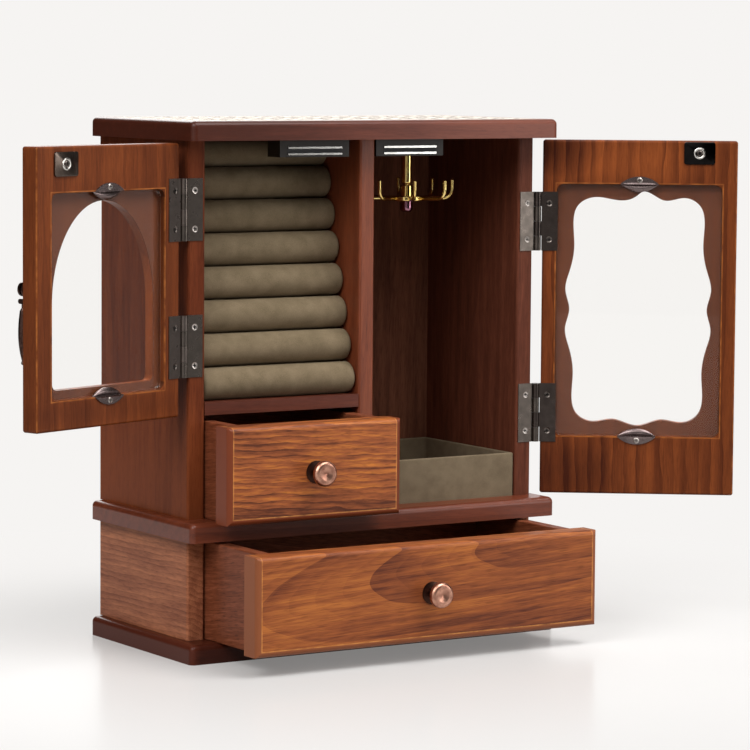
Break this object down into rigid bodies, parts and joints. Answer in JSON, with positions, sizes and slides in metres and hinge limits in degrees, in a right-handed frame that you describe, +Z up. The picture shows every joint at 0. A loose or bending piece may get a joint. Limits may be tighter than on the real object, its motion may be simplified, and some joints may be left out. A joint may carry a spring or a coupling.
{
  "type": "jewelry organizer with drawers",
  "caption": "Wooden jewellery cabinet with glazed doors, drawers, a padded ring bed, an open tray and a turning necklace carousel.",
  "frame": {"origin": "centre of the base plate's underside, where the organizer stands", "axes": "+X to the organizer's right seen from the front, +Y to its back, +Z up"},
  "size_m": [0.4975, 0.2064, 0.33],
  "materials": {
    "case_wood": "stained and satin lacquered",
    "front_wood": "stained and lacquered, figured grain",
    "door_wood": "stained and satin lacquered",
    "box_wood": "stained",
    "inlay": "cream lacquer with dark ornament",
    "velvet": "short pile velvet",
    "pane": "clear",
    "hinge_bronze": "antique bronze plate",
    "screw_steel": "bright zinc",
    "clip_nickel": "dark nickel",
    "strike_black": "black, polished",
    "catch_housing": "moulded dark brown",
    "pole_steel": "zinc plated",
    "magnet": "sintered ferrite",
    "carousel_brass": "polished",
    "nut_copper": "copper plated",
    "pull_copper": "antique copper"
  },
  "bodies": {
    "case": {"base_plate": "case_wood", "mid_plate": "case_wood", "top_plate": "case_wood", "lower_left_side": "case_wood", "lower_right_side": "case_wood", "upper_left_side": "case_wood", "upper_right_side": "case_wood", "centre_partition": "case_wood", "ring_shelf": "case_wood", "lower_back_panel": "box_wood", "upper_back_panel": "box_wood", "ring_bed_board": "box_wood", "top_inlay": "inlay", "ring_rolls": "velvet", "velvet_tray": "velvet", "hinge_case_leaves": "hinge_bronze", "hinge_pins": "hinge_bronze", "hinge_case_screws": "screw_steel", "ceiling_screws": "screw_steel", "catch_housings": "catch_housing", "catch_pole_plates": "pole_steel", "catch_magnets": "magnet", "carousel_post": "carousel_brass", "carousel_cap_nut": "nut_copper"},
    "left_door": {"left_door_frame": "door_wood", "left_door_glass": "pane", "left_door_clips": "clip_nickel", "left_door_trim_screws": "screw_steel", "left_door_strike_plate": "strike_black", "left_pull_mount": "pull_copper", "left_pull_pin": "pull_copper", "left_hinge_door_leaves": "hinge_bronze", "left_hinge_door_screws": "screw_steel"},
    "left_drop": {"left_pull_drop": "pull_copper"},
    "right_door": {"right_door_frame": "door_wood", "right_door_glass": "pane", "right_door_clips": "clip_nickel", "right_door_trim_screws": "screw_steel", "right_door_strike_plate": "strike_black", "right_pull_mount": "pull_copper", "right_pull_pin": "pull_copper", "right_hinge_door_leaves": "hinge_bronze", "right_hinge_door_screws": "screw_steel"},
    "right_drop": {"right_pull_drop": "pull_copper"},
    "large_drawer": {"large_drawer_front": "front_wood", "large_drawer_left_side": "box_wood", "large_drawer_right_side": "box_wood", "large_drawer_back": "box_wood", "large_drawer_bottom": "box_wood", "large_drawer_lining": "velvet", "large_drawer_knob": "pull_copper"},
    "small_drawer": {"small_drawer_front": "front_wood", "small_drawer_left_side": "box_wood", "small_drawer_right_side": "box_wood", "small_drawer_back": "box_wood", "small_drawer_bottom": "box_wood", "small_drawer_lining": "velvet", "small_drawer_knob": "pull_copper"},
    "carousel": {"carousel_hub": "carousel_brass", "carousel_hooks": "carousel_brass"}
  },
  "joints": [
    {"name": "left_door_hinge", "type": "hinge", "parent": "case", "child": "left_door", "pos_m": [-0.1302, -0.0486, 0.23335], "axis": [0, 0, -1], "range_deg": [-160.1, 19.9]},
    {"name": "left_drop_swing", "type": "hinge", "parent": "left_door", "child": "left_drop", "pos_m": [-0.25084, -0.07376, 0.22635], "axis": [0.9403, 0.3404, 0], "range_deg": [0, 70]},
    {"name": "right_door_hinge", "type": "hinge", "parent": "case", "child": "right_door", "pos_m": [0.1302, -0.0486, 0.202], "axis": [0, 0, 1], "range_deg": [-143.6, 36.4]},
    {"name": "right_drop_swing", "type": "hinge", "parent": "right_door", "child": "right_drop", "pos_m": [0.23872, -0.10699, 0.195], "axis": [0.8049, -0.5934, 0], "range_deg": [0, 70]},
    {"name": "large_drawer_slide", "type": "slide", "parent": "case", "child": "large_drawer", "axis": [0, -1, 0], "range_m": [-0.064, 0.021]},
    {"name": "small_drawer_slide", "type": "slide", "parent": "case", "child": "small_drawer", "axis": [0, -1, 0], "range_m": [-0.026, 0.059]},
    {"name": "carousel_spin", "type": "hinge", "parent": "case", "child": "carousel", "pos_m": [0.06075, 0, 0.28], "axis": [0, 0, 1], "continuous": true}
  ]
}
